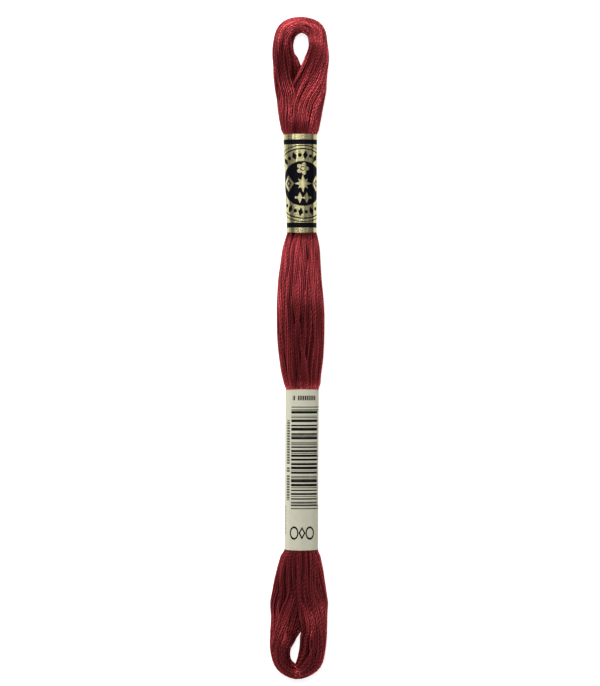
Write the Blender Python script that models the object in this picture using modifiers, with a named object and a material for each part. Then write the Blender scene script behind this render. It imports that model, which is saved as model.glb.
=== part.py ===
"""A pull skein of six-strand embroidery floss, lying on its back.

The floss is wound into one long ring of turns. The ring is pressed flat, so its two
sides lie together as one bundle, and at each end the turns fold back round a small eye.
Two paper bands hold it. They draw the bundle in, and it swells between them.

Frame: +Y runs along the skein towards the upper loop, +X is to its right and +Z is up.
The origin is under the middle of the skein, on the surface that it lies on.
"""
import math

import bmesh
import bpy

MM = 0.001
MODEL_NAME = "floss_skein"
SKEIN = "skein"

# The winding. Sizes and tables are in millimetres, and meshes are made in metres.
BUNDLE_LOBES = 8  # main turns that stand proud round the whole bundle
LEG_LOBES = 6  # and round one side of a loop
LOBE_RISE = 0.035  # how proud they stand, as a share of the section's half size
POINTS_PER_LOBE = 5
BUNDLE_TURNS = 0.45  # twist of the main turns from the lower eye to the upper one
LOOP_TURNS = 0.6  # and once round a loop
BUNDLE_STEP = 3.2  # longest stretch between two sections of the bundle
WAIST_STEP = 8.0  # and where a band covers it
LOOP_SECTIONS = 33
PRESSED = 0.3  # depth by which the underside is pressed flat where it rests
BLOCK = (40.0, 200.0, 10.0)  # what is cut away below the surface that it rests on
SMOOTH_ANGLE = math.radians(50)

# The paper bands.
PAPER = 1.0  # wall of a band's solid
CLEARANCE = 0.3  # between a band and the floss inside it
MOUTH = 1.0  # length over which the bundle draws in at the mouth of a band
BAND_POINTS = 28
BAND_RINGS = 4
BAND_FLATNESS = 2.4  # exponent of a band's oval: 2 is an ellipse, more is squarer

# The bundle from the lower eye to the upper one: its edges in plan and its thickness.
BUNDLE_ROWS = (
    # (y, left, right, high)
    (-69.5, -6.5, 6.5, 4.6),
    (-66.0, -6.95, 7.0, 5.3),
    (-60.0, -6.3, 6.5, 5.7),
    (-55.0, -5.4, 5.8, 5.7),
    (-51.0, -4.3, 5.15, 5.6),
    (-9.4, -3.5, 5.35, 5.8),
    (-6.0, -4.3, 5.55, 6.2),
    (-3.0, -4.7, 5.95, 6.6),
    (1.0, -5.1, 6.25, 6.8),
    (6.0, -5.3, 6.35, 6.9),
    (12.0, -5.25, 6.05, 6.9),
    (17.0, -4.85, 5.6, 6.7),
    (21.0, -4.5, 5.35, 6.4),
    (25.0, -4.1, 5.1, 6.0),
    (27.7, -3.2, 4.6, 5.7),
    (53.8, -4.2, 4.8, 5.6),
    (57.0, -4.85, 5.35, 5.8),
    (61.0, -5.35, 6.15, 5.9),
    (66.0, -5.9, 6.8, 5.6),
    (69.0, -5.6, 6.5, 4.8),
)

# A loop, from one side of the bundle round its eye to the other side: the middle of the
# section in plan, its size across, its thickness and the height of its middle.
UPPER_LOOP_ROWS = (
    # (x, y, wide, high, z)
    (-2.0, 55.0, 4.4, 4.2, 2.6),
    (-2.65, 61.2, 5.6, 4.8, 2.4),
    (-2.95, 66.0, 6.6, 4.9, 2.3),
    (-2.9, 69.6, 6.8, 4.8, 2.3),
    (-3.6, 72.4, 5.7, 4.8, 2.25),
    (-3.8, 75.2, 5.0, 4.8, 2.25),
    (-2.65, 78.85, 5.1, 4.7, 2.25),
    (0.55, 80.2, 4.0, 4.6, 2.2),
    (3.9, 78.65, 4.5, 4.8, 2.3),
    (4.85, 75.2, 4.55, 5.0, 2.35),
    (4.65, 72.2, 5.75, 5.1, 2.5),
    (3.9, 69.5, 6.5, 5.2, 2.7),
    (3.4, 66.0, 6.8, 5.2, 2.9),
    (3.0, 61.2, 6.1, 5.0, 3.0),
    (2.2, 55.0, 4.6, 4.4, 3.0),
)
LOWER_LOOP_ROWS = (
    # (x, y, wide, high, z)
    (2.4, -53.5, 4.8, 4.2, 2.7),
    (3.1, -57.5, 6.0, 4.7, 2.6),
    (3.7, -63.5, 6.8, 5.0, 2.5),
    (3.7, -69.4, 6.8, 5.1, 2.45),
    (3.5, -73.4, 6.5, 5.0, 2.4),
    (2.3, -77.8, 6.3, 4.8, 2.3),
    (-0.7, -80.25, 4.0, 4.6, 2.2),
    (-3.7, -78.4, 4.3, 4.6, 2.2),
    (-4.5, -74.6, 5.3, 4.8, 2.25),
    (-3.95, -71.0, 6.8, 5.0, 2.35),
    (-3.3, -64.5, 7.6, 5.2, 2.5),
    (-2.7, -57.5, 6.8, 5.0, 2.6),
    (-1.8, -53.5, 5.0, 4.4, 2.7),
)

# Each band: its two ends along Y, its edges in plan at each end, its height over all and
# the height of its lowest line above the surface.
BAND_ROWS = {
    # name: (y, left, right), (y, left, right), high, low
    "upper_band": ((28.75, -2.95, 4.4), (52.75, -3.85, 4.55), 5.4, 0.45),
    "lower_band": ((-49.85, -3.55, 4.75), (-10.45, -3.3, 4.95), 5.6, 0.4),
}

FLOSS_RED = (0.26, 0.028, 0.045, 1.0)
BAND_GOLD = (0.55, 0.50, 0.24, 1.0)
BAND_CREAM = (0.68, 0.67, 0.52, 1.0)


def cubic(before, a, b, after, spans, s):
    """A value between a and b, at s from 0 to 1, on a smooth curve through four rows."""
    run, middle, out = spans
    slope_a = ((b - a) / middle * run + (a - before) / run * middle) / (run + middle)
    slope_b = ((after - b) / out * middle + (b - a) / middle * out) / (middle + out)
    rise = b - a
    return (
        a
        + slope_a * middle * s
        + (3 * rise - (2 * slope_a + slope_b) * middle) * s**2
        + ((slope_a + slope_b) * middle - 2 * rise) * s**3
    )


def row_at(rows, stations, t):
    """The row at station t, on smooth curves through the table's columns."""
    i = max(k for k in range(len(rows) - 1) if stations[k] <= t or k == 0)
    ends = [min(max(k, 0), len(rows) - 1) for k in range(i - 1, i + 3)]
    lengths = [stations[b] - stations[a] for a, b in zip(ends, ends[1:])]
    spans = [length or lengths[1] for length in lengths]
    s = (t - stations[i]) / lengths[1]
    return [cubic(*(rows[k][column] for k in ends), spans, s) for column in range(len(rows[0]))]


def oval(middle, across, half_wide, half_high, count, lobes=0, twist=0.0, exponent=2.0):
    """The points of one section, anticlockwise seen along its path, with lobes if asked."""
    x, y, z = middle
    points = []
    for k in range(count):
        angle = math.tau * k / count
        proud = 1 + LOBE_RISE * math.cos(lobes * angle - twist) if lobes else 1
        side, rise = math.cos(angle), math.sin(angle)
        side = math.copysign(abs(side) ** (2 / exponent), side) * half_wide * proud
        rise = math.copysign(abs(rise) ** (2 / exponent), rise) * half_high * proud
        point = x + across[0] * side, y + across[1] * side, z + rise
        points.append([value * MM for value in point])
    return points


def add_object(name, mesh, collection, material=None):
    piece = bpy.data.objects.new(name, mesh)
    collection.objects.link(piece)
    if material:
        mesh.materials.append(material)
    return piece


def loft(name, sections, closed):
    """A skin over sections, with its two ends filled if closed."""
    shape = bmesh.new()
    rings = [[shape.verts.new(point) for point in section] for section in sections]
    for ring, following in zip(rings, rings[1:]):
        for k in range(len(ring)):
            beside = (k + 1) % len(ring)
            shape.faces.new((ring[k], ring[beside], following[beside], following[k]))
    if closed:
        shape.faces.new(reversed(rings[0]))
        shape.faces.new(rings[-1])
    mesh = bpy.data.meshes.new(name)
    shape.to_mesh(mesh)
    shape.free()
    mesh.shade_smooth()
    mesh.set_sharp_from_angle(angle=SMOOTH_ANGLE)
    return mesh


def band_edges(band, y):
    """The left and right edges of a band's outside at y."""
    (start, *near), (end, *far), _, _ = BAND_ROWS[band]
    share = (y - start) / (end - start)
    return [a + (b - a) * share for a, b in zip(near, far)]


def waist(band, y):
    """The bundle's section where a band covers it: left, right, thickness and middle."""
    left, right = band_edges(band, y)
    _, _, high, low = BAND_ROWS[band]
    wall = PAPER + CLEARANCE
    return left + wall, right - wall, high - 2 * wall, low + high / 2


def stretch(start, end, longest):
    """Evenly spaced places from start to end, both included."""
    count = math.ceil((end - start) / longest)
    return [start + (end - start) * k / count for k in range(count + 1)]


def bundle_sections():
    """The bundle's sections: free stretches on the table, and waists under the bands."""
    bands = sorted(BAND_ROWS, key=lambda band: BAND_ROWS[band][0][0])
    heights = [row[0] for row in BUNDLE_ROWS]
    rows, start = [], heights[0]
    for band in (*bands, None):
        end = BAND_ROWS[band][0][0] - MOUTH if band else heights[-1]
        for y in stretch(start, end, BUNDLE_STEP):
            _, left, right, high = row_at(BUNDLE_ROWS, heights, y)
            rows.append((y, left, right, high, high / 2 - PRESSED))
        if band:
            inside = [BAND_ROWS[band][0][0] - CLEARANCE, BAND_ROWS[band][1][0] + CLEARANCE]
            rows += [(y, *waist(band, y)) for y in stretch(*inside, WAIST_STEP)]
            start = BAND_ROWS[band][1][0] + MOUTH
    length = heights[-1] - heights[0]
    sections = []
    for y, left, right, high, middle in rows:
        twist = math.tau * BUNDLE_TURNS * BUNDLE_LOBES * (y - heights[0]) / length
        centre = ((left + right) / 2, y, middle)
        count = BUNDLE_LOBES * POINTS_PER_LOBE
        half = (right - left) / 2, high / 2
        sections.append(oval(centre, (-1, 0), *half, count, BUNDLE_LOBES, twist))
    return sections


def loop_sections(rows):
    """A loop's sections, each square to the path that its table gives."""
    stations = [0.0]
    for row, following in zip(rows, rows[1:]):
        stations.append(stations[-1] + math.dist(row[:2], following[:2]))
    sections = []
    for k in range(LOOP_SECTIONS):
        share = k / (LOOP_SECTIONS - 1)
        at = stations[-1] * share
        x, y, wide, high, z = row_at(rows, stations, at)
        nudge = stations[-1] / LOOP_SECTIONS / 4
        behind = row_at(rows, stations, max(at - nudge, 0.0))
        ahead = row_at(rows, stations, min(at + nudge, stations[-1]))
        heading = math.atan2(ahead[1] - behind[1], ahead[0] - behind[0])
        across = (-math.sin(heading), math.cos(heading))
        twist = math.tau * LOOP_TURNS * LEG_LOBES * share
        count = LEG_LOBES * POINTS_PER_LOBE
        sections.append(oval((x, y, z), across, wide / 2, high / 2, count, LEG_LOBES, twist))
    return sections


def combine(piece, other, operation):
    """Join another object to a piece, or cut it away, and leave it out of the model."""
    other.hide_render = True
    other.display_type = "WIRE"
    boolean = piece.modifiers.new(other.name, "BOOLEAN")
    boolean.operation = operation
    boolean.solver = "EXACT"
    boolean.use_self = True  # the two sides of a loop run into each other
    boolean.object = other


def make_skein(collection, cutters, material):
    """The bundle and its two loops as one solid, pressed flat where it rests."""
    skein = add_object(SKEIN, loft(SKEIN, bundle_sections(), True), collection, material)
    for name, rows in (("upper_loop", UPPER_LOOP_ROWS), ("lower_loop", LOWER_LOOP_ROWS)):
        loop = add_object(name, loft(name, loop_sections(rows), True), cutters, material)
        combine(skein, loop, "UNION")
    block = bmesh.new()
    bmesh.ops.create_cube(block, size=1.0)
    bmesh.ops.scale(block, vec=[size * MM for size in BLOCK], verts=block.verts)
    bmesh.ops.translate(block, vec=(0, 0, -BLOCK[2] / 2 * MM), verts=block.verts)
    mesh = bpy.data.meshes.new("surface_block")
    block.to_mesh(mesh)
    block.free()
    combine(skein, add_object("surface_block", mesh, cutters), "DIFFERENCE")
    return skein


def make_band(band, collection, material):
    """A paper sleeve: an open tube of oval rings, thickened inwards."""
    (start, *_), (end, *_), high, low = BAND_ROWS[band]
    rings = []
    for k in range(BAND_RINGS):
        y = start + (end - start) * k / (BAND_RINGS - 1)
        left, right = band_edges(band, y)
        centre = ((left + right) / 2, y, low + high / 2)
        half = (right - left) / 2, high / 2
        rings.append(oval(centre, (-1, 0), *half, BAND_POINTS, exponent=BAND_FLATNESS))
    sleeve = add_object(band, loft(band, rings, False), collection, material)
    wall = sleeve.modifiers.new("paper", "SOLIDIFY")
    wall.thickness = PAPER * MM
    wall.offset = -1.0
    return sleeve


def finish(name, colour, roughness, metallic=0.0):
    material = bpy.data.materials.new(name)
    material.use_nodes = True
    shader = material.node_tree.nodes["Principled BSDF"]
    shader.inputs["Base Color"].default_value = colour
    shader.inputs["Roughness"].default_value = roughness
    shader.inputs["Metallic"].default_value = metallic
    return material


def new_collection(name):
    collection = bpy.data.collections.new(name)
    bpy.context.scene.collection.children.link(collection)
    return collection


def main():
    for leftover in list(bpy.data.objects):
        bpy.data.objects.remove(leftover, do_unlink=True)
    model = new_collection(MODEL_NAME)
    cutters = new_collection("cutters")
    make_skein(model, cutters, finish("garnet_floss", FLOSS_RED, 0.5))
    make_band("upper_band", model, finish("gold_paper", BAND_GOLD, 0.35, 0.6))
    make_band("lower_band", model, finish("cream_paper", BAND_CREAM, 0.6))


main()
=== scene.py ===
"""Looks of a pull skein of six-strand embroidery floss with its two paper bands.

The winding is built as the real one is: one length of floss, wound into a long ring of
turns that is pressed flat and held by the bands. Every strand of every turn is there.
The turns are laid into the skein's form and pushed apart, but where they are crowded some
strands still press into each other.
"""
import math

import bpy
import numpy as np
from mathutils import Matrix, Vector


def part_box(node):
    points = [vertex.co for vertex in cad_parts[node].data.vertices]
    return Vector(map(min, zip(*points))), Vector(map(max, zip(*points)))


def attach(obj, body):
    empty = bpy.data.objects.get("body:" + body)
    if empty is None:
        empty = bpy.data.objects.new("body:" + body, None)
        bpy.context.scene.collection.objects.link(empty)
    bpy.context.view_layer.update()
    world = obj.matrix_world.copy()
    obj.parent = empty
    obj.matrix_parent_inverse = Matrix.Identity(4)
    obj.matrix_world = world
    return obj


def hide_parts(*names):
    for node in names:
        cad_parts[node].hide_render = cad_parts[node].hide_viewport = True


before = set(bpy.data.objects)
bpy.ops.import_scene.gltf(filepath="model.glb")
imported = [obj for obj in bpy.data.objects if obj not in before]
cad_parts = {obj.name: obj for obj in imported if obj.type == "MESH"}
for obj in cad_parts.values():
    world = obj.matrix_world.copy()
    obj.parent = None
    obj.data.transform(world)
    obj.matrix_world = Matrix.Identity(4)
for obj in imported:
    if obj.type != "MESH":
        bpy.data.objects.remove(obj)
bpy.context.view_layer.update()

MM = 0.001
SEED = 7

# ---------------------------------------------------------------- sizes, in millimetres

TURNS = 24  # of floss in the skein
STRANDS = 6  # in the floss
FLOSS_PITCH = 46.0  # length in which the strands go once round each other
PLY_PITCH = 1.8  # and the two plies of a strand
STRAND_SIDES = 6
PIECES = 4  # the strands are shared out over this many pieces
EYE_Y = 70.5  # from here on the two sides part round an eye
SIDE_STEP = 1.25  # distance between stations along a side
LOOP_STEP = 0.85  # and round a loop
MERGE_Y = (60.0, 70.5)  # the two sides part over this stretch
FLOSS_FILL = 0.84  # share of a section that the flosses fill
STRAND_FILL = 0.86  # and the strands
FLOSS_ROUNDS = 160  # of pushing the flosses apart
STRAND_ROUNDS = 16  # and then the strands
SLACK = 0.93  # a strand's thickness as a share of its room
SMOOTHINGS = 4  # passes that take the last small kinks out of the strands
WANDER = 0.2  # how far a turn strays across the skein, as a share of its half size
WANDER_LENGTH = 45  # stations, at least, from one stray to the next
OUTERMOST = 5  # strands at each edge of a section that do not set its size
PAPER = 0.12  # thickness of a band's paper
MOUTH = 1.2  # length over which the bundle draws in at the mouth of a band
SEAM = 0.28  # share of a side's stations below the place where the winding starts
STRAND_SPREAD = 0.66  # how far a strand starts out from its floss's middle, as a share

# The bundle from the lower eye to the upper one: its edges in plan and its thickness.
BUNDLE_ROWS = np.array([
    # (y, left, right, high)
    (-69.5, -6.6, 6.9, 4.9),
    (-66.0, -7.2, 7.4, 4.8),
    (-60.0, -6.6, 6.85, 4.8),
    (-55.0, -5.55, 6.1, 5.2),
    (-51.0, -4.4, 5.3, 5.6),
    (-9.4, -3.6, 5.35, 5.1),
    (-6.0, -4.4, 5.65, 5.5),
    (-3.0, -4.85, 6.05, 5.85),
    (1.0, -5.3, 6.3, 6.25),
    (6.0, -5.5, 6.4, 6.8),
    (8.3, -5.5, 6.4, 6.98),
    (10.6, -5.5, 6.3, 7.0),
    (13.0, -5.4, 6.1, 6.84),
    (17.0, -5.15, 5.7, 6.4),
    (21.0, -4.6, 5.45, 5.9),
    (25.0, -4.0, 5.2, 5.4),
    (27.7, -3.2, 4.7, 5.0),
    (53.8, -4.35, 4.95, 5.4),
    (56.0, -4.8, 5.4, 5.65),
    (59.0, -5.25, 5.95, 5.3),
    (62.5, -5.6, 6.6, 4.8),
    (66.0, -5.95, 7.1, 4.65),
    (69.5, -5.75, 6.7, 4.7),
])

# A loop, from one side of the bundle round its eye to the other side.
UPPER_LOOP_ROWS = np.array([
    # (x, y, wide, high, z)
    (-2.1, 55.0, 4.6, 3.8, 2.1),
    (-2.75, 61.2, 5.8, 3.5, 1.7),
    (-3.0, 66.0, 6.8, 3.6, 1.75),
    (-2.8, 69.6, 7.5, 4.2, 2.0),
    (-3.75, 72.4, 5.8, 4.9, 2.35),
    (-3.9, 75.2, 5.15, 5.3, 2.6),
    (-2.7, 78.85, 5.1, 5.0, 2.5),
    (0.85, 80.25, 4.1, 4.5, 2.2),
    (3.95, 78.8, 4.8, 4.8, 2.35),
    (4.8, 75.2, 4.8, 5.3, 2.6),
    (4.6, 72.2, 6.0, 4.9, 2.4),
    (3.8, 69.5, 7.1, 4.5, 2.2),
    (3.5, 66.0, 7.1, 4.3, 2.15),
    (3.05, 61.2, 6.3, 4.7, 2.4),
    (2.3, 55.0, 4.8, 4.6, 3.2),
])
LOWER_LOOP_ROWS = np.array([
    # (x, y, wide, high, z)
    (2.5, -53.5, 5.0, 4.4, 2.9),
    (3.2, -57.5, 6.3, 4.3, 2.4),
    (3.35, -63.5, 8.0, 4.3, 2.15),
    (3.25, -68.2, 8.1, 5.0, 2.65),
    (3.55, -71.4, 6.9, 5.3, 2.75),
    (3.45, -74.0, 6.6, 5.2, 2.65),
    (2.4, -78.0, 6.3, 5.0, 2.45),
    (-0.5, -80.3, 4.0, 4.7, 2.2),
    (-3.65, -78.5, 4.4, 4.9, 2.35),
    (-4.6, -74.6, 5.2, 5.5, 2.75),
    (-3.8, -71.0, 6.9, 5.1, 2.55),
    (-3.15, -68.0, 8.2, 4.7, 2.3),
    (-3.3, -64.0, 8.0, 4.4, 2.1),
    (-2.9, -57.5, 7.0, 4.3, 2.4),
    (-1.9, -53.5, 5.2, 4.4, 2.9),
])
# How far the two sides are turned about each other inside the bundle: with a positive
# turn the right side comes to the front.
TURN_ROWS = np.array([
    # (y, degrees)
    (-70.5, 0.0),
    (-60.0, 8.0),
    (-50.0, 25.0),
    (0.0, 40.0),
    (50.0, 55.0),
    (60.0, 40.0),
    (66.0, 20.0),
    (70.5, 0.0),
])
PRESSED = 0.3  # depth by which the underside is pressed flat where it rests

# The bands' paper.
BAND_COLUMNS = 128  # faces round a band
BAND_ROW = 0.6  # and how long each is, about
SQUARENESS = 0.92  # below 1 the section is squarer than an oval
LAP = 3.0  # glued overlap under the skein
BOW = 0.2  # by which a band's ends stand out at the top
SHARP_ANGLE = math.radians(40)  # edges that turn by more than this are sharp
RIDGE = 0.045  # depth of the ridges that the floss presses into the paper
CREASE_X, CREASE_LONG = -2.0, 3.6  # a crease down from the upper band's upper end
CREASE_WIDE, CREASE_HIGH = 0.22, 0.09
# A band's outside: its edges in plan at each end, its thickness and its middle's height.
BAND_FORMS = {
    # name: ((left, right) at the lower end, (left, right) at the upper end, high, z)
    "upper_band": ((-2.95, 4.4), (-3.85, 4.55), 4.7, 2.75),
    "lower_band": ((-3.55, 4.75), (-3.3, 4.95), 4.9, 2.85),
}
BAND_NAMES = {"upper_band": "foil_band", "lower_band": "label_band"}

# The studio, in metres, and what the camera takes in.
FLOOR_HALF = 1.5
LIGHT_REACH = 0.8
VIEW_TALL = 0.170128  # height of what the camera takes in, at the skein
VIEW_CENTRE = (0.00029, 0.00125, 0.003)


# ---------------------------------------------------------------- the skein's form


def box_mm(node):
    """A CAD node's lowest and highest corner, in millimetres."""
    low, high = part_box(node)
    return np.array(low) / MM, np.array(high) / MM


def curve_through(stations, values, at):
    """The values at some stations, on smooth curves through a table's columns."""
    slopes = np.gradient(values, stations, axis=0)
    i = np.clip(np.searchsorted(stations, at, side="right") - 1, 0, len(stations) - 2)
    run = (stations[i + 1] - stations[i])[:, None]
    s = (at - stations[i])[:, None] / run
    rise = values[i + 1] - values[i]
    a, b = slopes[i] * run, slopes[i + 1] * run
    return values[i] + a * s + (3 * rise - 2 * a - b) * s**2 + (a + b - 2 * rise) * s**3


def ease(low, high, value):
    """0 below low, 1 above high and smooth between them."""
    s = np.clip((value - low) / (high - low), 0, 1)
    return s * s * (3 - 2 * s)


def band_section(band, y):
    """The inside of a paper band at y: its middle and half sizes, x and z."""
    low, high = box_mm(band)
    share = np.clip((y - low[1]) / (high[1] - low[1]), 0, 1)[:, None]
    near, far, tall, middle_z = BAND_FORMS[band]
    near, far = np.array(near), np.array(far)
    edges = near + (far - near) * share
    middle = edges.mean(1)
    half = (edges[:, 1] - edges[:, 0]) / 2 - PAPER
    same = np.ones_like(y)
    return np.stack([middle, middle_z * same, half, (tall / 2 - PAPER) * same], 1)


def bundle_section(y):
    """The whole bundle at y: middle x, middle z, half width and half thickness."""
    left, right, tall = curve_through(BUNDLE_ROWS[:, 0], BUNDLE_ROWS[:, 1:], y).T
    free = np.stack([(left + right) / 2, tall / 2 - PRESSED, (right - left) / 2, tall / 2], 1)
    for band in BAND_FORMS:
        low, high = box_mm(band)
        inside = ease(low[1] - MOUTH, low[1], y) * (1 - ease(high[1], high[1] + MOUTH, y))
        free += (band_section(band, y) - free) * inside[:, None]
    return free


def distances(points):
    """How far along a line each of its points is."""
    steps = np.linalg.norm(np.diff(points, axis=0), axis=1)
    return np.concatenate([[0.0], np.cumsum(steps)])


def side_section(y, side):
    """One side of the ring at y, where it is apart from the other: -1 left, 1 right."""
    out = []
    for rows in (LOWER_LOOP_ROWS, UPPER_LOOP_ROWS):
        top = len(rows) // 2
        first = (rows[0, 0] > 0) == (side > 0)
        part = rows[: top - 1] if first else rows[top + 2:]
        part = part[np.argsort(part[:, 1])]
        out.append(curve_through(part[:, 1], part, np.clip(y, part[0, 1], part[-1, 1])))
    rows = np.where((y > 0)[:, None], out[1], out[0])
    return np.stack([rows[:, 0], rows[:, 4], rows[:, 2] / 2, rows[:, 3] / 2], 1)


class Ring:
    """The stations round the ring: up the left side, over, down the right, and round.

    Each has its section's centre, its outward direction in plan, its half width and half
    thickness, and its share, the number of passes of floss that its section holds.
    """

    def __init__(self):
        count = int(2 * EYE_Y / SIDE_STEP) + 1
        y = np.linspace(-EYE_Y, EYE_Y, count)
        apart = ease(*MERGE_Y, np.abs(y))
        parts = []
        whole = bundle_section(y)
        for side in (-1, 1):
            own = side_section(y, side)
            section = whole + (own - whole) * apart[:, None]
            centre = np.stack([section[:, 0], y, section[:, 1]], 1)
            slope = np.gradient(section[:, 0], y) * apart
            outward = np.stack([np.ones(count), -slope, np.zeros(count)], 1) * side
            outward /= np.linalg.norm(outward, axis=1)[:, None]
            share = 2 * TURNS - TURNS * apart
            parts.append([centre, outward, section[:, 2:], share])
        left, right = parts
        right = [a[::-1] for a in right]
        upper = self.loop(UPPER_LOOP_ROWS, EYE_Y)
        lower = self.loop(LOWER_LOOP_ROWS, -EYE_Y)
        self.sides, self.upper, self.lower = count, len(upper[0]), len(lower[0])
        joined = [np.concatenate(a) for a in zip(left, upper, right, lower)]
        self.centre, self.outward, self.half, self.share = joined
        self.count = len(self.centre)
        self.seam = int(self.sides * SEAM)  # a station under the lower band

    def loop(self, rows, start_y):
        """The stations of a loop beyond the eye's corner, square to its path."""
        at = distances(rows[:, :2])
        top = len(rows) // 2
        before, after = slice(0, top), slice(top + 1, None)
        order = 1 if start_y > 0 else -1
        start = np.interp(start_y * order, rows[before, 1] * order, at[before])
        end = np.interp(start_y * order, rows[after, 1][::-1] * order, at[after][::-1])
        count = int((end - start) / LOOP_STEP)
        stations = start + (end - start) * (np.arange(count) + 0.5) / count
        row = curve_through(at, rows, stations)
        ahead = curve_through(at, rows, stations + 0.1) - curve_through(at, rows, stations - 0.1)
        heading = ahead[:, :2] / np.linalg.norm(ahead[:, :2], axis=1)[:, None]
        zero = np.zeros(count)
        outward = np.stack([-heading[:, 1], heading[:, 0], zero], 1)
        centre = np.stack([row[:, 0], row[:, 1], row[:, 4]], 1)
        return [centre, outward, row[:, 2:4] / 2, np.full(count, float(TURNS))]

    def places(self, flat):
        """Points in space from places across the sections, (strand, station, 2)."""
        up = np.array([0.0, 0.0, 1.0])
        return self.centre + self.outward * flat[..., :1] + up * flat[..., 1:]


# ---------------------------------------------------------------- winding the floss


def wander(rng, count, longest, reach):
    """A smooth closed random walk of that many steps, about reach to each side."""
    waves = np.arange(1, max(int(count / longest), 1) + 1)
    size = rng.normal(size=(2, len(waves), 2))
    turn = math.tau * np.outer(np.arange(count) / count, waves)
    walk = np.cos(turn) @ size[0] + np.sin(turn) @ size[1]
    return walk * reach / walk.std()


def first_places(ring, rng):
    """Where each turn starts out across each section, in millimetres."""
    golden = math.pi * (3 - math.sqrt(5))
    order = rng.permutation(TURNS)
    reach, angle = np.sqrt((order + 0.5) / TURNS), order * golden
    base = np.stack([reach * np.cos(angle), reach * np.sin(angle)], 1)[:, None]
    # One turn runs into the next under the lower band.
    blend = ease(ring.seam - 8, ring.seam + 8, np.arange(ring.count))[:, None]
    flat = base * blend + np.roll(base, 1, axis=0) * (1 - blend)
    flat = flat + wander(rng, TURNS * ring.count, WANDER_LENGTH, WANDER).reshape(flat.shape)
    # Inside the bundle each side has its own half, and the two turn about each other.
    together = (ring.share - TURNS) / TURNS
    edge = np.sqrt(np.clip(1 - flat[..., 1] ** 2, 0, 1))
    across = flat[..., 0] + (edge - flat[..., 0]) / 2 * together
    turned = np.radians(np.interp(ring.centre[:, 1], TURN_ROWS[:, 0], TURN_ROWS[:, 1]))
    side = np.sign(ring.outward[:, 0])
    rise = flat[..., 1]
    flat = np.stack([
        across * np.cos(turned) - side * rise * np.sin(turned),
        side * across * np.sin(turned) + rise * np.cos(turned),
    ], -1)
    return flat * ring.half


def push_apart(places, reach, strength):
    """Moves places in a section that are nearer than reach straight apart."""
    x, z = (places[..., k].T.astype(np.float32) for k in (0, 1))
    dx, dz = (v[:, :, None] - v[:, None, :] for v in (x, z))
    far = np.sqrt(dx * dx + dz * dz) + np.float32(1e-6)
    lap = np.maximum(reach.astype(np.float32)[:, None, None] - far, 0) / far
    move = np.stack([(dx * lap).sum(2).T, (dz * lap).sum(2).T], -1)
    return places + strength * move


def settle(ring, flat, chains, fill, rounds, stiffness, strength):
    """Lets the turns push each other apart, smooth along their length, in their form."""
    per_side = len(flat) / TURNS
    radius = np.sqrt(fill * ring.half.prod(1) / (ring.share * per_side))
    room = ring.half - radius[:, None]
    floor = radius - ring.centre[:, 2]
    up, down = slice(0, ring.sides), slice(ring.sides + ring.upper, ring.count - ring.lower)
    bends = slice(ring.sides, down.start), slice(down.stop, ring.count)
    middle = ring.centre[:, ::2]
    facing = np.stack([np.sign(ring.outward[:, 0]), np.ones(ring.count)], 1)
    for _ in range(rounds):
        chain = (flat / ring.half).reshape(chains, -1, 2)
        beside = (np.roll(chain, 1, axis=1) + np.roll(chain, -1, axis=1)) / 2
        chain = chain + stiffness * (beside - chain)
        flat = chain.reshape(flat.shape) * ring.half
        for bend in bends:
            flat[:, bend] = push_apart(flat[:, bend], 2 * radius[bend], strength)
        left = middle[up] + facing[up] * flat[:, up]
        right = (middle[down] + facing[down] * flat[:, down])[:, ::-1]
        both = push_apart(np.concatenate([left, right]), 2 * radius[up], strength)
        left, right = np.split(both, 2)
        flat[:, up] = (left - middle[up]) * facing[up]
        flat[:, down] = (right[:, ::-1] - middle[down]) * facing[down]
        out = np.linalg.norm(flat / room, axis=-1, keepdims=True)
        flat = flat / np.maximum(out, 1)
        flat[..., 1] = np.maximum(flat[..., 1], floor)
    return flat, radius


def evened(values, stations=5):
    """A row of values, each the mean of its neighbours."""
    padded = np.pad(values, stations // 2, mode="edge")
    return np.convolve(padded, np.ones(stations) / stations, "valid")


def stretched(places, radius, low, high):
    """Places across a section, (strand, station), spread until they reach from low to high.

    The outermost few strands are left out of account and held in at the edge.
    """
    in_order = np.sort(places, axis=0)
    now_low = evened(in_order[OUTERMOST] - radius)
    now_high = evened(in_order[-1 - OUTERMOST] + radius)
    places = low + (places - now_low) * (high - low) / (now_high - now_low)
    return np.clip(places, low + radius, high - radius)


def fill_out(ring, flat, radius):
    """Spreads the strands so that their outline is the form's, in plan and in height."""
    up, down = slice(0, ring.sides), slice(ring.sides + ring.upper, ring.count - ring.lower)
    middle, half = ring.centre[:, ::2], ring.half
    left = middle[up] - flat[:, up] * (1, -1)
    right = (middle[down] + flat[:, down])[:, ::-1]
    both = np.concatenate([left, right])
    low = np.minimum(middle[up] - half[up], (middle[down] - half[down])[::-1])
    high = np.maximum(middle[up] + half[up], (middle[down] + half[down])[::-1])
    for axis in (0, 1):
        both[..., axis] = stretched(both[..., axis], radius[up], low[:, axis], high[:, axis])
    left, right = np.split(both, 2)
    flat[:, up] = (left - middle[up]) * (-1, 1)
    flat[:, down] = right[:, ::-1] - middle[down]
    for bend in (slice(ring.sides, down.start), slice(down.stop, ring.count)):
        for axis in (0, 1):
            size = half[bend, axis]
            flat[:, bend, axis] = stretched(flat[:, bend, axis], radius[bend], -size, size)
    room = half - radius[:, None]
    across = np.clip(flat[..., 0] / room[:, 0], -1, 1)
    rise = room[:, 1] * np.sqrt(1 - across**2)
    flat[..., 1] = np.clip(flat[..., 1], -rise, rise)
    return flat


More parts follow.
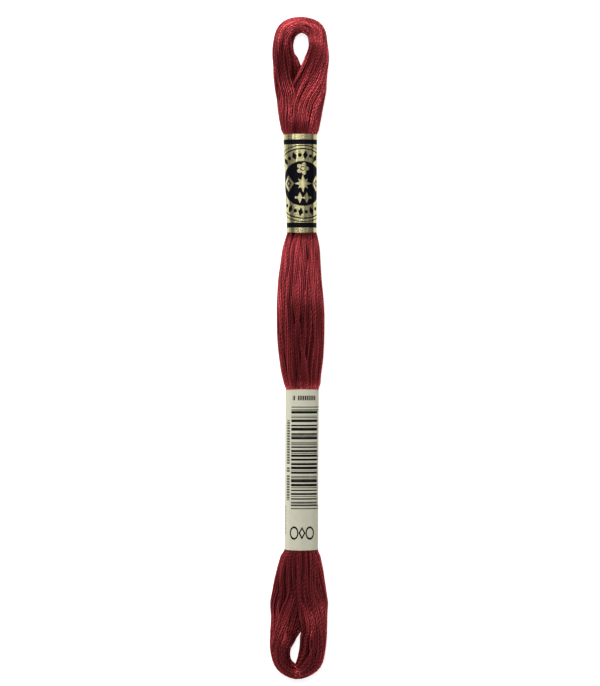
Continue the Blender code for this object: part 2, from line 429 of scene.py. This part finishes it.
def part_strands(ring, flat, radius):
    """The strands' places in each section, set round the middle of their floss."""
    along = distances(ring.places(flat).reshape(-1, 3))
    angle = math.tau * along.reshape(flat.shape[:2]) / FLOSS_PITCH
    strands = []
    for k in range(STRANDS):
        way = angle + math.tau * k / STRANDS
        aside = np.stack([np.cos(way), np.sin(way)], -1) * radius[:, None] * STRAND_SPREAD
        strands.append(flat + aside)
    return np.concatenate(strands)


def wind_floss():
    """Every strand's line, as (strand, point, 3) in millimetres, radius and depth.

    The depth is 0 at the outside of the skein's section and 1 at its middle.
    """
    rng = np.random.default_rng(SEED)
    ring = Ring()
    flat = first_places(ring, rng)
    flat, radius = settle(
        ring, flat, 1, FLOSS_FILL, FLOSS_ROUNDS, stiffness=0.35, strength=0.3,
    )
    flat = part_strands(ring, flat, radius)
    flat, radius = settle(
        ring, flat, STRANDS, STRAND_FILL, STRAND_ROUNDS, stiffness=0.2, strength=0.25,
    )
    flat = fill_out(ring, flat, radius)
    chain = (flat / ring.half).reshape(STRANDS, -1, 2)
    for _ in range(SMOOTHINGS):
        beside = (np.roll(chain, 1, axis=1) + np.roll(chain, -1, axis=1)) / 2
        chain = (chain + beside) / 2
    flat = chain.reshape(flat.shape) * ring.half
    lines = ring.places(flat).reshape(STRANDS, -1, 3)
    thick = np.tile(radius * SLACK, (STRANDS, TURNS))
    lines[..., 2] = np.maximum(lines[..., 2], thick)
    buried = 1 - np.linalg.norm(flat / ring.half, axis=-1).reshape(STRANDS, -1)
    return [np.roll(rows, -ring.seam, axis=1) for rows in (lines, thick, buried)]


# ---------------------------------------------------------------- building the pieces


class Tree:
    """A node tree with one way to add a node: its settings first, then its sockets."""

    def __init__(self, node_tree):
        self.node_tree = node_tree

    def link(self, output, socket):
        self.node_tree.links.new(output, socket)

    def add(self, kind, settings=None, **sockets):
        """A node: its settings are set first, then its sockets, to values or links."""
        node = self.node_tree.nodes.new(kind)
        for name, value in (settings or {}).items():
            setattr(node, name, value)
        for name, value in sockets.items():
            socket = node.inputs[name.replace("_", " ")]
            if isinstance(value, bpy.types.NodeSocket):
                self.link(value, socket)
            else:
                socket.default_value = value
        return node


def strand_tubes():
    """The tree that turns lines into tubes, with each point's place round its strand."""
    group = bpy.data.node_groups.new("strand_tubes", "GeometryNodeTree")
    face = group.interface
    face.new_socket("Geometry", in_out="INPUT", socket_type="NodeSocketGeometry")
    face.new_socket("Sides", in_out="INPUT", socket_type="NodeSocketInt")
    face.new_socket("Finish", in_out="INPUT", socket_type="NodeSocketMaterial")
    face.new_socket("Geometry", in_out="OUTPUT", socket_type="NodeSocketGeometry")
    tree = Tree(group)
    given = tree.add("NodeGroupInput").outputs
    curve = tree.add("GeometryNodeMeshToCurve", Mesh=given["Geometry"])
    ring = tree.add("GeometryNodeCurvePrimitiveCircle", Resolution=given["Sides"], Radius=1.0)
    place = tree.add("GeometryNodeInputPosition")
    marked = tree.add(
        "GeometryNodeStoreNamedAttribute", {"data_type": "FLOAT_VECTOR", "domain": "POINT"},
        Geometry=ring.outputs["Curve"], Name="around", Value=place.outputs["Position"],
    )
    thick = tree.add("GeometryNodeInputNamedAttribute", {"data_type": "FLOAT"}, Name="thick")
    tube = tree.add(
        "GeometryNodeCurveToMesh", Curve=curve.outputs["Curve"],
        Profile_Curve=marked.outputs["Geometry"], Scale=thick.outputs["Attribute"],
        Fill_Caps=True,
    )
    smooth = tree.add("GeometryNodeSetShadeSmooth", Geometry=tube.outputs["Mesh"])
    whole = tree.add("GeometryNodeRealizeInstances", Geometry=smooth.outputs["Geometry"])
    dressed = tree.add(
        "GeometryNodeSetMaterial", Geometry=whole.outputs["Geometry"], Material=given["Finish"],
    )
    tree.add("NodeGroupOutput", Geometry=dressed.outputs["Geometry"])
    return group


def made_mesh(guide, name):
    """A plain object made of what a guide's modifiers give. The guide is removed."""
    view = bpy.context.evaluated_depsgraph_get()
    mesh = bpy.data.meshes.new_from_object(guide.evaluated_get(view), depsgraph=view)
    mesh.name = name
    bpy.data.objects.remove(guide)
    piece = bpy.data.objects.new(name, mesh)
    bpy.context.collection.objects.link(piece)
    return piece


def strand_piece(name, lines, marks, group, material):
    """Tubes along the lines, (strand, point, 3) in millimetres, as one mesh."""
    strands, points = lines.shape[:2]
    mesh = bpy.data.meshes.new(name)
    index = np.arange(strands * points).reshape(strands, points)
    edges = np.stack([index[:, :-1].ravel(), index[:, 1:].ravel()], 1)
    mesh.from_pydata((lines.reshape(-1, 3) * MM).tolist(), edges.tolist(), [])
    for key, values in marks.items():
        mesh.attributes.new(key, "FLOAT", "POINT").data.foreach_set("value", values.ravel())
    guide = bpy.data.objects.new(name, mesh)
    bpy.context.collection.objects.link(guide)
    tubes = guide.modifiers.new("tubes", "NODES")
    tubes.node_group = group
    sockets = {item.name: item.identifier for item in group.interface.items_tree}
    tubes[sockets["Sides"]] = STRAND_SIDES
    tubes[sockets["Finish"]] = material
    return made_mesh(guide, name)


def smooth_noise(rng, shape, width):
    """Rows of random numbers of unit size, each row smoothed over that many points."""
    values = rng.normal(size=shape)
    window = np.hanning(width + 2)
    rows = [np.convolve(row, window, "same") for row in values]
    return np.array(rows) / np.std(rows)


def make_floss(material):
    """The strands of every turn, in pieces that each hold some of the turns."""
    lines, thick, buried = wind_floss()
    steps = np.linalg.norm(np.diff(lines, axis=1), axis=2)
    rng = np.random.default_rng(SEED)
    # The plies' twist is uneven, and starts from its own place in each strand.
    uneven = 1 + 0.18 * smooth_noise(rng, steps.shape, 9)
    along = np.pad(np.cumsum(steps * uneven, axis=1), ((0, 0), (1, 0))) / PLY_PITCH
    along += np.arange(STRANDS)[:, None] * 0.37
    # The dye has streaks, and the strands that are buried are darkened in their colour as painted
    # shade, since little light reaches them.
    streaks = 1 + 0.3 * smooth_noise(rng, thick.shape, 40)
    streaks_and_shade = np.clip(streaks, 0.45, 1.5) * (1 - 0.6 * ease(0.1, 0.4, buried))
    marks = {"thick": thick * MM, "along": along, "streaks_and_shade": streaks_and_shade}
    group = strand_tubes()
    share = lines.shape[1] // PIECES
    pieces = []
    for k in range(PIECES):
        part = slice(k * share, (k + 1) * share + 1)
        own = {key: values[:, part] for key, values in marks.items()}
        pieces.append(strand_piece(f"floss_turns_{k + 1}", lines[:, part], own, group, material))
    bpy.data.node_groups.remove(group)
    return pieces


def band_ridges(rng, turn, share):
    """How far the floss below presses the paper out, turn round the band by share along."""
    ridges = np.zeros(np.broadcast_shapes(turn.shape, share.shape))
    for count in range(5, 14, 2):
        drift, start = rng.uniform(-2.5, 2.5), rng.uniform(0, math.tau)
        swell = 0.6 + 0.4 * np.cos(math.tau * share + start)
        ridges = ridges + RIDGE * swell * np.cos(count * turn + drift * share + start) / 2
    return ridges


def make_band(band, foil, paper):
    """A strip of paper round the skein, glued where its ends lap underneath."""
    low, high = box_mm(band)
    rows = int((high[1] - low[1]) / BAND_ROW) + 1
    y = np.linspace(low[1], high[1], rows)[:, None]
    share = (y - low[1]) / (high[1] - low[1])
    middle, middle_z, half, tall = (v[:, None] for v in band_section(band, y[:, 0]).T)
    half, tall = half + PAPER, tall + PAPER
    lap = LAP / (2 * half.mean())
    turn = np.linspace(-math.pi - lap / 2, math.pi + lap / 2, BAND_COLUMNS + 1)[None]
    # The end that laps over the other stands proud of it.
    proud = 1.3 * PAPER * ease(math.pi - 2 * lap, math.pi - 0.6 * lap, turn)
    proud = proud + band_ridges(np.random.default_rng(SEED + rows), turn, share)
    across, rise = np.sin(turn), np.cos(turn)
    across = np.sign(across) * np.abs(across) ** SQUARENESS
    rise = np.sign(rise) * np.abs(rise) ** SQUARENESS
    if band == "upper_band":
        beside = (half * across - CREASE_X) / CREASE_WIDE
        crease = CREASE_HIGH * np.exp(-beside**2) * (rise > 0)
        proud = proud + crease * ease(high[1] - CREASE_LONG, high[1] - CREASE_LONG / 2, y)
    x = middle + (half + proud) * across
    z = middle_z + (tall + proud) * rise
    bowed = y + BOW * rise * (2 * share - 1) ** 3
    points = np.stack([x, bowed, z], -1)
    steps = np.linalg.norm(np.diff(points[:, :, ::2], axis=1), axis=-1)
    round_it = np.pad(np.cumsum(steps, axis=1), ((0, 0), (1, 0)))
    top = round_it[:, BAND_COLUMNS // 2][:, None]
    spot = np.stack([round_it - top, bowed - (low[1] + high[1]) / 2, np.zeros_like(x)], -1)

    index = np.arange(x.size).reshape(x.shape)
    corners = [index[:-1, :-1], index[:-1, 1:], index[1:, 1:], index[1:, :-1]]
    faces = np.stack([c.ravel() for c in corners], 1)
    mesh = bpy.data.meshes.new(band)
    mesh.from_pydata((points.reshape(-1, 3) * MM).tolist(), [], faces.tolist())
    mesh.attributes.new("spot", "FLOAT_VECTOR", "POINT").data.foreach_set("vector", spot.ravel())
    mesh.materials.append(foil)
    mesh.materials.append(paper)
    mesh.shade_smooth()
    guide = bpy.data.objects.new(band, mesh)
    bpy.context.collection.objects.link(guide)
    wall = guide.modifiers.new("wall", "SOLIDIFY")
    wall.thickness = PAPER * MM
    wall.offset = -1
    wall.material_offset = wall.material_offset_rim = 1
    sheet = made_mesh(guide, BAND_NAMES[band])
    sheet.data.set_sharp_from_angle(angle=SHARP_ANGLE)
    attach(sheet, "root")
    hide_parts(band)


# ---------------------------------------------------------------- finishes


class Value:
    """A shader value that Python's arithmetic adds Math nodes to."""

    def __init__(self, tree, socket):
        self.tree, self.socket = tree, socket

    def node(self, operation, *values):
        """A Math node on some values, which are shader values or plain numbers."""
        node = self.tree.node_tree.nodes.new("ShaderNodeMath")
        node.operation = operation
        for slot, value in zip(node.inputs, values):
            if isinstance(value, Value):
                self.tree.link(value.socket, slot)
            else:
                slot.default_value = value
        return Value(self.tree, node.outputs[0])

    def math(self, operation, *others):
        return self.node(operation, self, *others)

    def __add__(self, other):
        return self.math("ADD", other)

    def __sub__(self, other):
        return self.math("SUBTRACT", other)

    def __mul__(self, other):
        return self.math("MULTIPLY", other)

    def __truediv__(self, other):
        return self.math("DIVIDE", other)

    def __lt__(self, other):
        return self.math("LESS_THAN", other)

    def __gt__(self, other):
        return self.math("GREATER_THAN", other)

    def __abs__(self):
        return self.math("ABSOLUTE")

    def __rsub__(self, other):
        return self.node("SUBTRACT", other, self)

    __radd__, __rmul__ = __add__, __mul__


def new_finish(name):
    """A material, its tree and its Principled shader."""
    material = bpy.data.materials.new(name)
    material.use_nodes = True
    tree = Tree(material.node_tree)
    return material, tree, material.node_tree.nodes["Principled BSDF"]


def blend(tree, mask, below, above):
    """A colour: the first where the mask is 0 and the second where it is 1."""
    node = tree.add("ShaderNodeMix", {"data_type": "RGBA"})
    for slot, value in ((0, mask.socket), (6, below), (7, above)):
        if isinstance(value, bpy.types.NodeSocket):
            tree.link(value, node.inputs[slot])
        else:
            node.inputs[slot].default_value = (*value, 1)
    return node.outputs[2]


def noise(tree, scale, detail, **sockets):
    """A soft random value from 0 to 1, scale to the metre."""
    node = tree.add("ShaderNodeTexNoise", Scale=scale, Detail=detail, **sockets)
    return Value(tree, node.outputs[0])


def print_spot(tree):
    """Where a point is on the laid-out paper, in millimetres from the front's middle."""
    spot = tree.add("ShaderNodeAttribute", {"attribute_name": "spot"})
    parts = tree.add("ShaderNodeSeparateXYZ", Vector=spot.outputs["Vector"]).outputs
    return Value(tree, parts["X"]), Value(tree, parts["Y"])


def length(a, b):
    """The distance of a point from the origin."""
    return (a * a + b * b).math("SQRT")


def either(*masks):
    """1 where any of the masks is."""
    mask = masks[0]
    for other in masks[1:]:
        mask = mask.math("MAXIMUM", other)
    return mask


def block(u, v, wide, tall):
    """1 in a rectangle about the origin."""
    return (abs(u) < wide / 2) * (abs(v) < tall / 2)


def lozenge(u, v, wide, tall):
    """1 in a lozenge about the origin."""
    return abs(u) / (wide / 2) + abs(v) / (tall / 2) < 1.0


def line_ring(radius, at, wide):
    """1 on a thin line round the origin."""
    return abs(radius - at) < wide / 2


def paper_bump(tree, shader, depth):
    """The tooth of paper."""
    coordinates = tree.add("ShaderNodeTexCoord").outputs["Object"]
    tooth = noise(tree, 6000.0, 3.0, Vector=coordinates)
    bump = tree.add("ShaderNodeBump", Strength=1.0, Distance=depth, Height=tooth.socket)
    tree.link(bump.outputs["Normal"], shader.inputs["Normal"])
    return coordinates


def foil_finish():
    """Pale gold foil printed in black: rings, and a disc with a star, a flower and gems."""
    material, tree, shader = new_finish("gold_foil_paper")
    u, v = print_spot(tree)
    u, v = u - 0.5, v + 0.05
    radius = length(u, v)
    turn = v.math("ARCTAN2", u)

    # A ring of small leaves and dots, by turns, round the disc.
    places, ring_radius, disc_radius = 32, 7.05, 5.53
    step = (turn * (places / math.tau)).math("FRACT") - 0.5
    round_it = step * (math.tau / places * 7.1)
    across = radius - ring_radius
    odd = (turn * (places / 2 / math.tau)).math("FRACT") > 0.5
    leaf = lozenge(round_it, across, 1.25, 2.3) * odd
    dot = (length(round_it, across) < 0.46) * (1 - odd)
    ring = either(leaf, dot, line_ring(radius, 8.6, 0.3), line_ring(radius, 9.4, 0.22))
    ring = ring * (abs(v) < 9.6)

    strips = (abs(v) > 9.7) * (abs(v) < 10.9)
    disc = radius < disc_radius
    star = either(lozenge(u, v, 4.4, 1.5), lozenge(u, v, 1.5, 4.4))
    diagonal, other = (u + v) * 0.7071, (u - v) * 0.7071
    star = either(star, lozenge(diagonal, other, 3.5, 1.3), lozenge(diagonal, other, 1.3, 3.5))
    beside = abs(u) - 3.7
    outline = lozenge(beside, v, 2.9, 4.1) * (1 - lozenge(beside, v, 1.5, 2.1))
    gems = either(outline, lozenge(beside, v, 0.7, 1.0))
    above = v - 3.7
    from_middle, petals = length(u, above), abs((above.math("ARCTAN2", u) * 2.5).math("COSINE"))
    flower = (from_middle < petals * 0.75 + 0.85) * (abs(from_middle - 0.5) > 0.1)
    seeds = either(
        lozenge(abs(u) - 0.85, v + 3.5, 1.3, 2.7), length(u, v + 3.5) < 0.2,
        length(abs(u) - 1.85, v + 3.5) < 0.3,
    )
    gold_on_disc = either(star, gems, flower, seeds)
    black = either(disc * (1 - gold_on_disc), ring * (1 - disc), strips)

    coordinates = paper_bump(tree, shader, 0.000008)
    cloud = noise(tree, 500.0, 2.0, Vector=coordinates)
    gold = blend(tree, cloud, (0.46, 0.42, 0.21), (0.63, 0.58, 0.33))
    colour = blend(tree, black, gold, (0.004, 0.004, 0.007))
    tree.link(colour, shader.inputs["Base Color"])
    tree.link(((1 - black) * 0.85).socket, shader.inputs["Metallic"])
    tree.link((cloud * 0.1 + 0.2).socket, shader.inputs["Roughness"])
    shader.inputs["Specular IOR Level"].default_value = 0.05
    return material


def label_finish():
    """Cream paper with a column of bars, rows of dashes and three open shapes."""
    material, tree, shader = new_finish("cream_label_paper")
    u, v = print_spot(tree)

    # Bars of uneven width, each across the label, in two rows that overlap: how far apart
    # they are, where they start, the thinnest, and how much wider they get.
    bars = None
    for step, start, thin, more in ((1.06, 3.0, 0.16, 0.5), (0.71, 40.0, 0.05, 0.32)):
        place = (v + start) / step
        dice = tree.add(
            "ShaderNodeTexWhiteNoise", {"noise_dimensions": "1D"},
            W=(place.math("FLOOR") + start).socket,
        )
        wide = Value(tree, dice.outputs["Value"]) * more + thin
        lines = place.math("FRACT") < wide
        bars = either(bars, lines) if bars else lines
    bars = bars * block(u - 0.75, v - 3.0, 6.9, 23.4)
    guards = abs(abs(v - 3.0) - 12.2)
    guards = (abs(guards - 0.35) < 0.12) * (abs(u - 1.1) < 3.8)
    middle = (abs(abs(v - 3.0) - 0.35) < 0.12) * (abs(u - 1.1) < 3.8)

    def dashes(along, across, pitch, tall):
        """A row of small dashes with gaps, as wide as words are."""
        cell = (along / pitch).math("FLOOR")
        toss = tree.add("ShaderNodeTexWhiteNoise", {"noise_dimensions": "1D"}, W=cell.socket)
        there = Value(tree, toss.outputs["Value"]) < 0.93
        return ((along / pitch).math("FRACT") < 0.72) * there * (abs(across) < tall / 2)

    number_row = dashes(u + 10.0, v - 17.8, 0.56, 1.15) * block(u - 0.55, v - 17.8, 5.9, 2.0)
    side_column = dashes(v + 50.0, u + 3.55, 0.66, 0.95) * block(u + 3.55, v - 2.4, 2.0, 19.8)
    faint_column = dashes(v + 50.0, u + 4.5, 0.9, 0.7) * block(u + 4.5, v + 12.5, 2.0, 7.2)

    # A ring, a lozenge and a ring.
    low = v + 15.6
    centred = u - 0.15
    squeezed = length((abs(centred) - 1.98) * 1.5, low)
    rings = abs(squeezed - 1.42) < 0.24
    inner = lozenge(centred, low, 1.75, 3.2) * (1 - lozenge(centred, low, 0.95, 1.8))
    dark = either(bars, guards, middle, number_row * 0.95, side_column * 0.85, rings, inner)
    dark = either(dark, faint_column * 0.4)

    coordinates = paper_bump(tree, shader, 0.000012)
    cloud = noise(tree, 900.0, 3.0, Vector=coordinates)
    cream = blend(tree, cloud, (0.60, 0.585, 0.455), (0.665, 0.65, 0.515))
    colour = blend(tree, dark, cream, (0.006, 0.006, 0.007))
    tree.link(colour, shader.inputs["Base Color"])
    shader.inputs["Roughness"].default_value = 0.62
    shader.inputs["Specular IOR Level"].default_value = 0.08
    return material


def plain_paper_finish():
    """The bands' unprinted side and cut edges."""
    material, tree, shader = new_finish("plain_paper")
    coordinates = paper_bump(tree, shader, 0.000012)
    cloud = noise(tree, 900.0, 3.0, Vector=coordinates)
    colour = blend(tree, cloud, (0.66, 0.64, 0.58), (0.76, 0.74, 0.68))
    tree.link(colour, shader.inputs["Base Color"])
    shader.inputs["Roughness"].default_value = 0.8
    return material


def floss_finish():
    """Mercerised cotton: two plies that wind round each other, with a silky sheen, and painted
    shade in the grooves between the plies.
    """
    material, tree, shader = new_finish("garnet_floss")
    around = tree.add("ShaderNodeAttribute", {"attribute_name": "around"})
    parts = tree.add("ShaderNodeSeparateXYZ", Vector=around.outputs["Vector"]).outputs
    along = tree.add("ShaderNodeAttribute", {"attribute_name": "along"})
    x, y = Value(tree, parts["X"]), Value(tree, parts["Y"])
    angle = y.math("ARCTAN2", x)
    ply = abs((angle - Value(tree, along.outputs["Fac"]) * math.tau).math("COSINE"))
    # painted shade: the colour runs from near black in the grooves between the plies to garnet on
    # their crests
    groove_shaded_colour = blend(tree, ply, (0.055, 0.004, 0.0055), (0.49, 0.068, 0.077))
    # each strand's colour is scaled by its random dye streaks and by painted shade on the buried
    # strands
    streaks_and_shade = tree.add("ShaderNodeAttribute", {"attribute_name": "streaks_and_shade"})
    colour = tree.add(
        "ShaderNodeVectorMath", {"operation": "SCALE"}, Vector=groove_shaded_colour, Scale=streaks_and_shade.outputs["Fac"],
    )
    tree.link(colour.outputs["Vector"], shader.inputs["Base Color"])
    bump = tree.add("ShaderNodeBump", Strength=1.0, Distance=0.000014, Height=ply.socket)
    tree.link(bump.outputs["Normal"], shader.inputs["Normal"])
    shader.inputs["Metallic"].default_value = 0.75
    shader.inputs["Specular Tint"].default_value = (0.75, 0.2, 0.22, 1)
    shader.inputs["Roughness"].default_value = 0.3
    shader.inputs["Specular IOR Level"].default_value = 0.22
    return material


# ---------------------------------------------------------------- floor, lights, camera


def make_floor():
    """A pale floor that glows a little, so that it stays even."""
    mesh = bpy.data.meshes.new("floor")
    corners = [(x * FLOOR_HALF, y * FLOOR_HALF, 0) for x, y in ((-1, -1), (1, -1), (1, 1), (-1, 1))]
    mesh.from_pydata(corners, [], [(0, 1, 2, 3)])
    floor = bpy.data.objects.new("floor", mesh)
    bpy.context.collection.objects.link(floor)
    material, _, shader = new_finish("pale_floor")
    shader.inputs["Base Color"].default_value = (0.6, 0.6, 0.6, 1)
    shader.inputs["Roughness"].default_value = 0.9
    shader.inputs["Emission Color"].default_value = (1, 1, 1, 1)
    shader.inputs["Emission Strength"].default_value = 0.86
    mesh.materials.append(material)


def softbox(name, azimuth, elevation, size, power):
    """A soft light at an angle from +Y, positive towards -X, that faces the skein."""
    data = bpy.data.lights.new(name, "AREA")
    data.shape = "RECTANGLE"
    data.size, data.size_y = size
    data.energy = power
    light = bpy.data.objects.new(name, data)
    azimuth, elevation = math.radians(azimuth), math.radians(elevation)
    level = math.cos(elevation)
    way = Vector((-math.sin(azimuth) * level, math.cos(azimuth) * level, math.sin(elevation)))
    light.location = way * LIGHT_REACH
    light.rotation_euler = (-way).to_track_quat("-Z", "Y").to_euler()
    bpy.context.collection.objects.link(light)


def make_studio():
    """A dim room with a pale horizon, and the lamps over the skein."""
    world = bpy.data.worlds.new("studio")
    bpy.context.scene.world = world
    world.use_nodes = True
    room = world.node_tree.nodes["Background"]
    room.inputs["Color"].default_value = (1, 1, 1, 1)
    tree = Tree(world.node_tree)
    way = tree.add("ShaderNodeTexCoord").outputs["Generated"]
    height = tree.add("ShaderNodeSeparateXYZ", Vector=way).outputs["Z"]
    fade = tree.add(
        "ShaderNodeMapRange", Value=height, From_Min=0.13, From_Max=0.2, To_Min=0.75, To_Max=0.02,
    )
    tree.link(fade.outputs["Result"], room.inputs["Strength"])
    softbox("key", 15, 25, (0.4, 0.22), 7.0)
    softbox("high", 10, 69, (0.36, 0.14), 2.2)
    softbox("front_left", 60, 40, (0.25, 0.25), 0.25)
    softbox("front_top", 62, 77, (0.1, 0.3), 0.1)
    softbox("right", -90, 60, (0.25, 0.25), 0.1)
    softbox("back_left", 135, 30, (0.25, 0.25), 0.3)
    softbox("back_right", -135, 45, (0.25, 0.25), 0.1)
    bpy.context.scene.view_settings.view_transform = "Standard"


def make_camera():
    """A long lens that looks straight down."""
    data = bpy.data.cameras.new("camera")
    data.lens = 100
    data.sensor_fit = "VERTICAL"
    data.sensor_height = 24
    camera = bpy.data.objects.new("camera", data)
    distance = VIEW_TALL * data.lens / data.sensor_height
    camera.location = Vector(VIEW_CENTRE) + Vector((0, 0, distance))
    data.clip_start = 0.01
    bpy.context.collection.objects.link(camera)
    bpy.context.scene.camera = camera


def main():
    make_camera()
    make_studio()
    make_floor()
    floss = make_floss(floss_finish())
    for piece in floss:
        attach(piece, "root")
        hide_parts("skein")
    paper = plain_paper_finish()
    make_band("upper_band", foil_finish(), paper)
    make_band("lower_band", label_finish(), paper)


main()
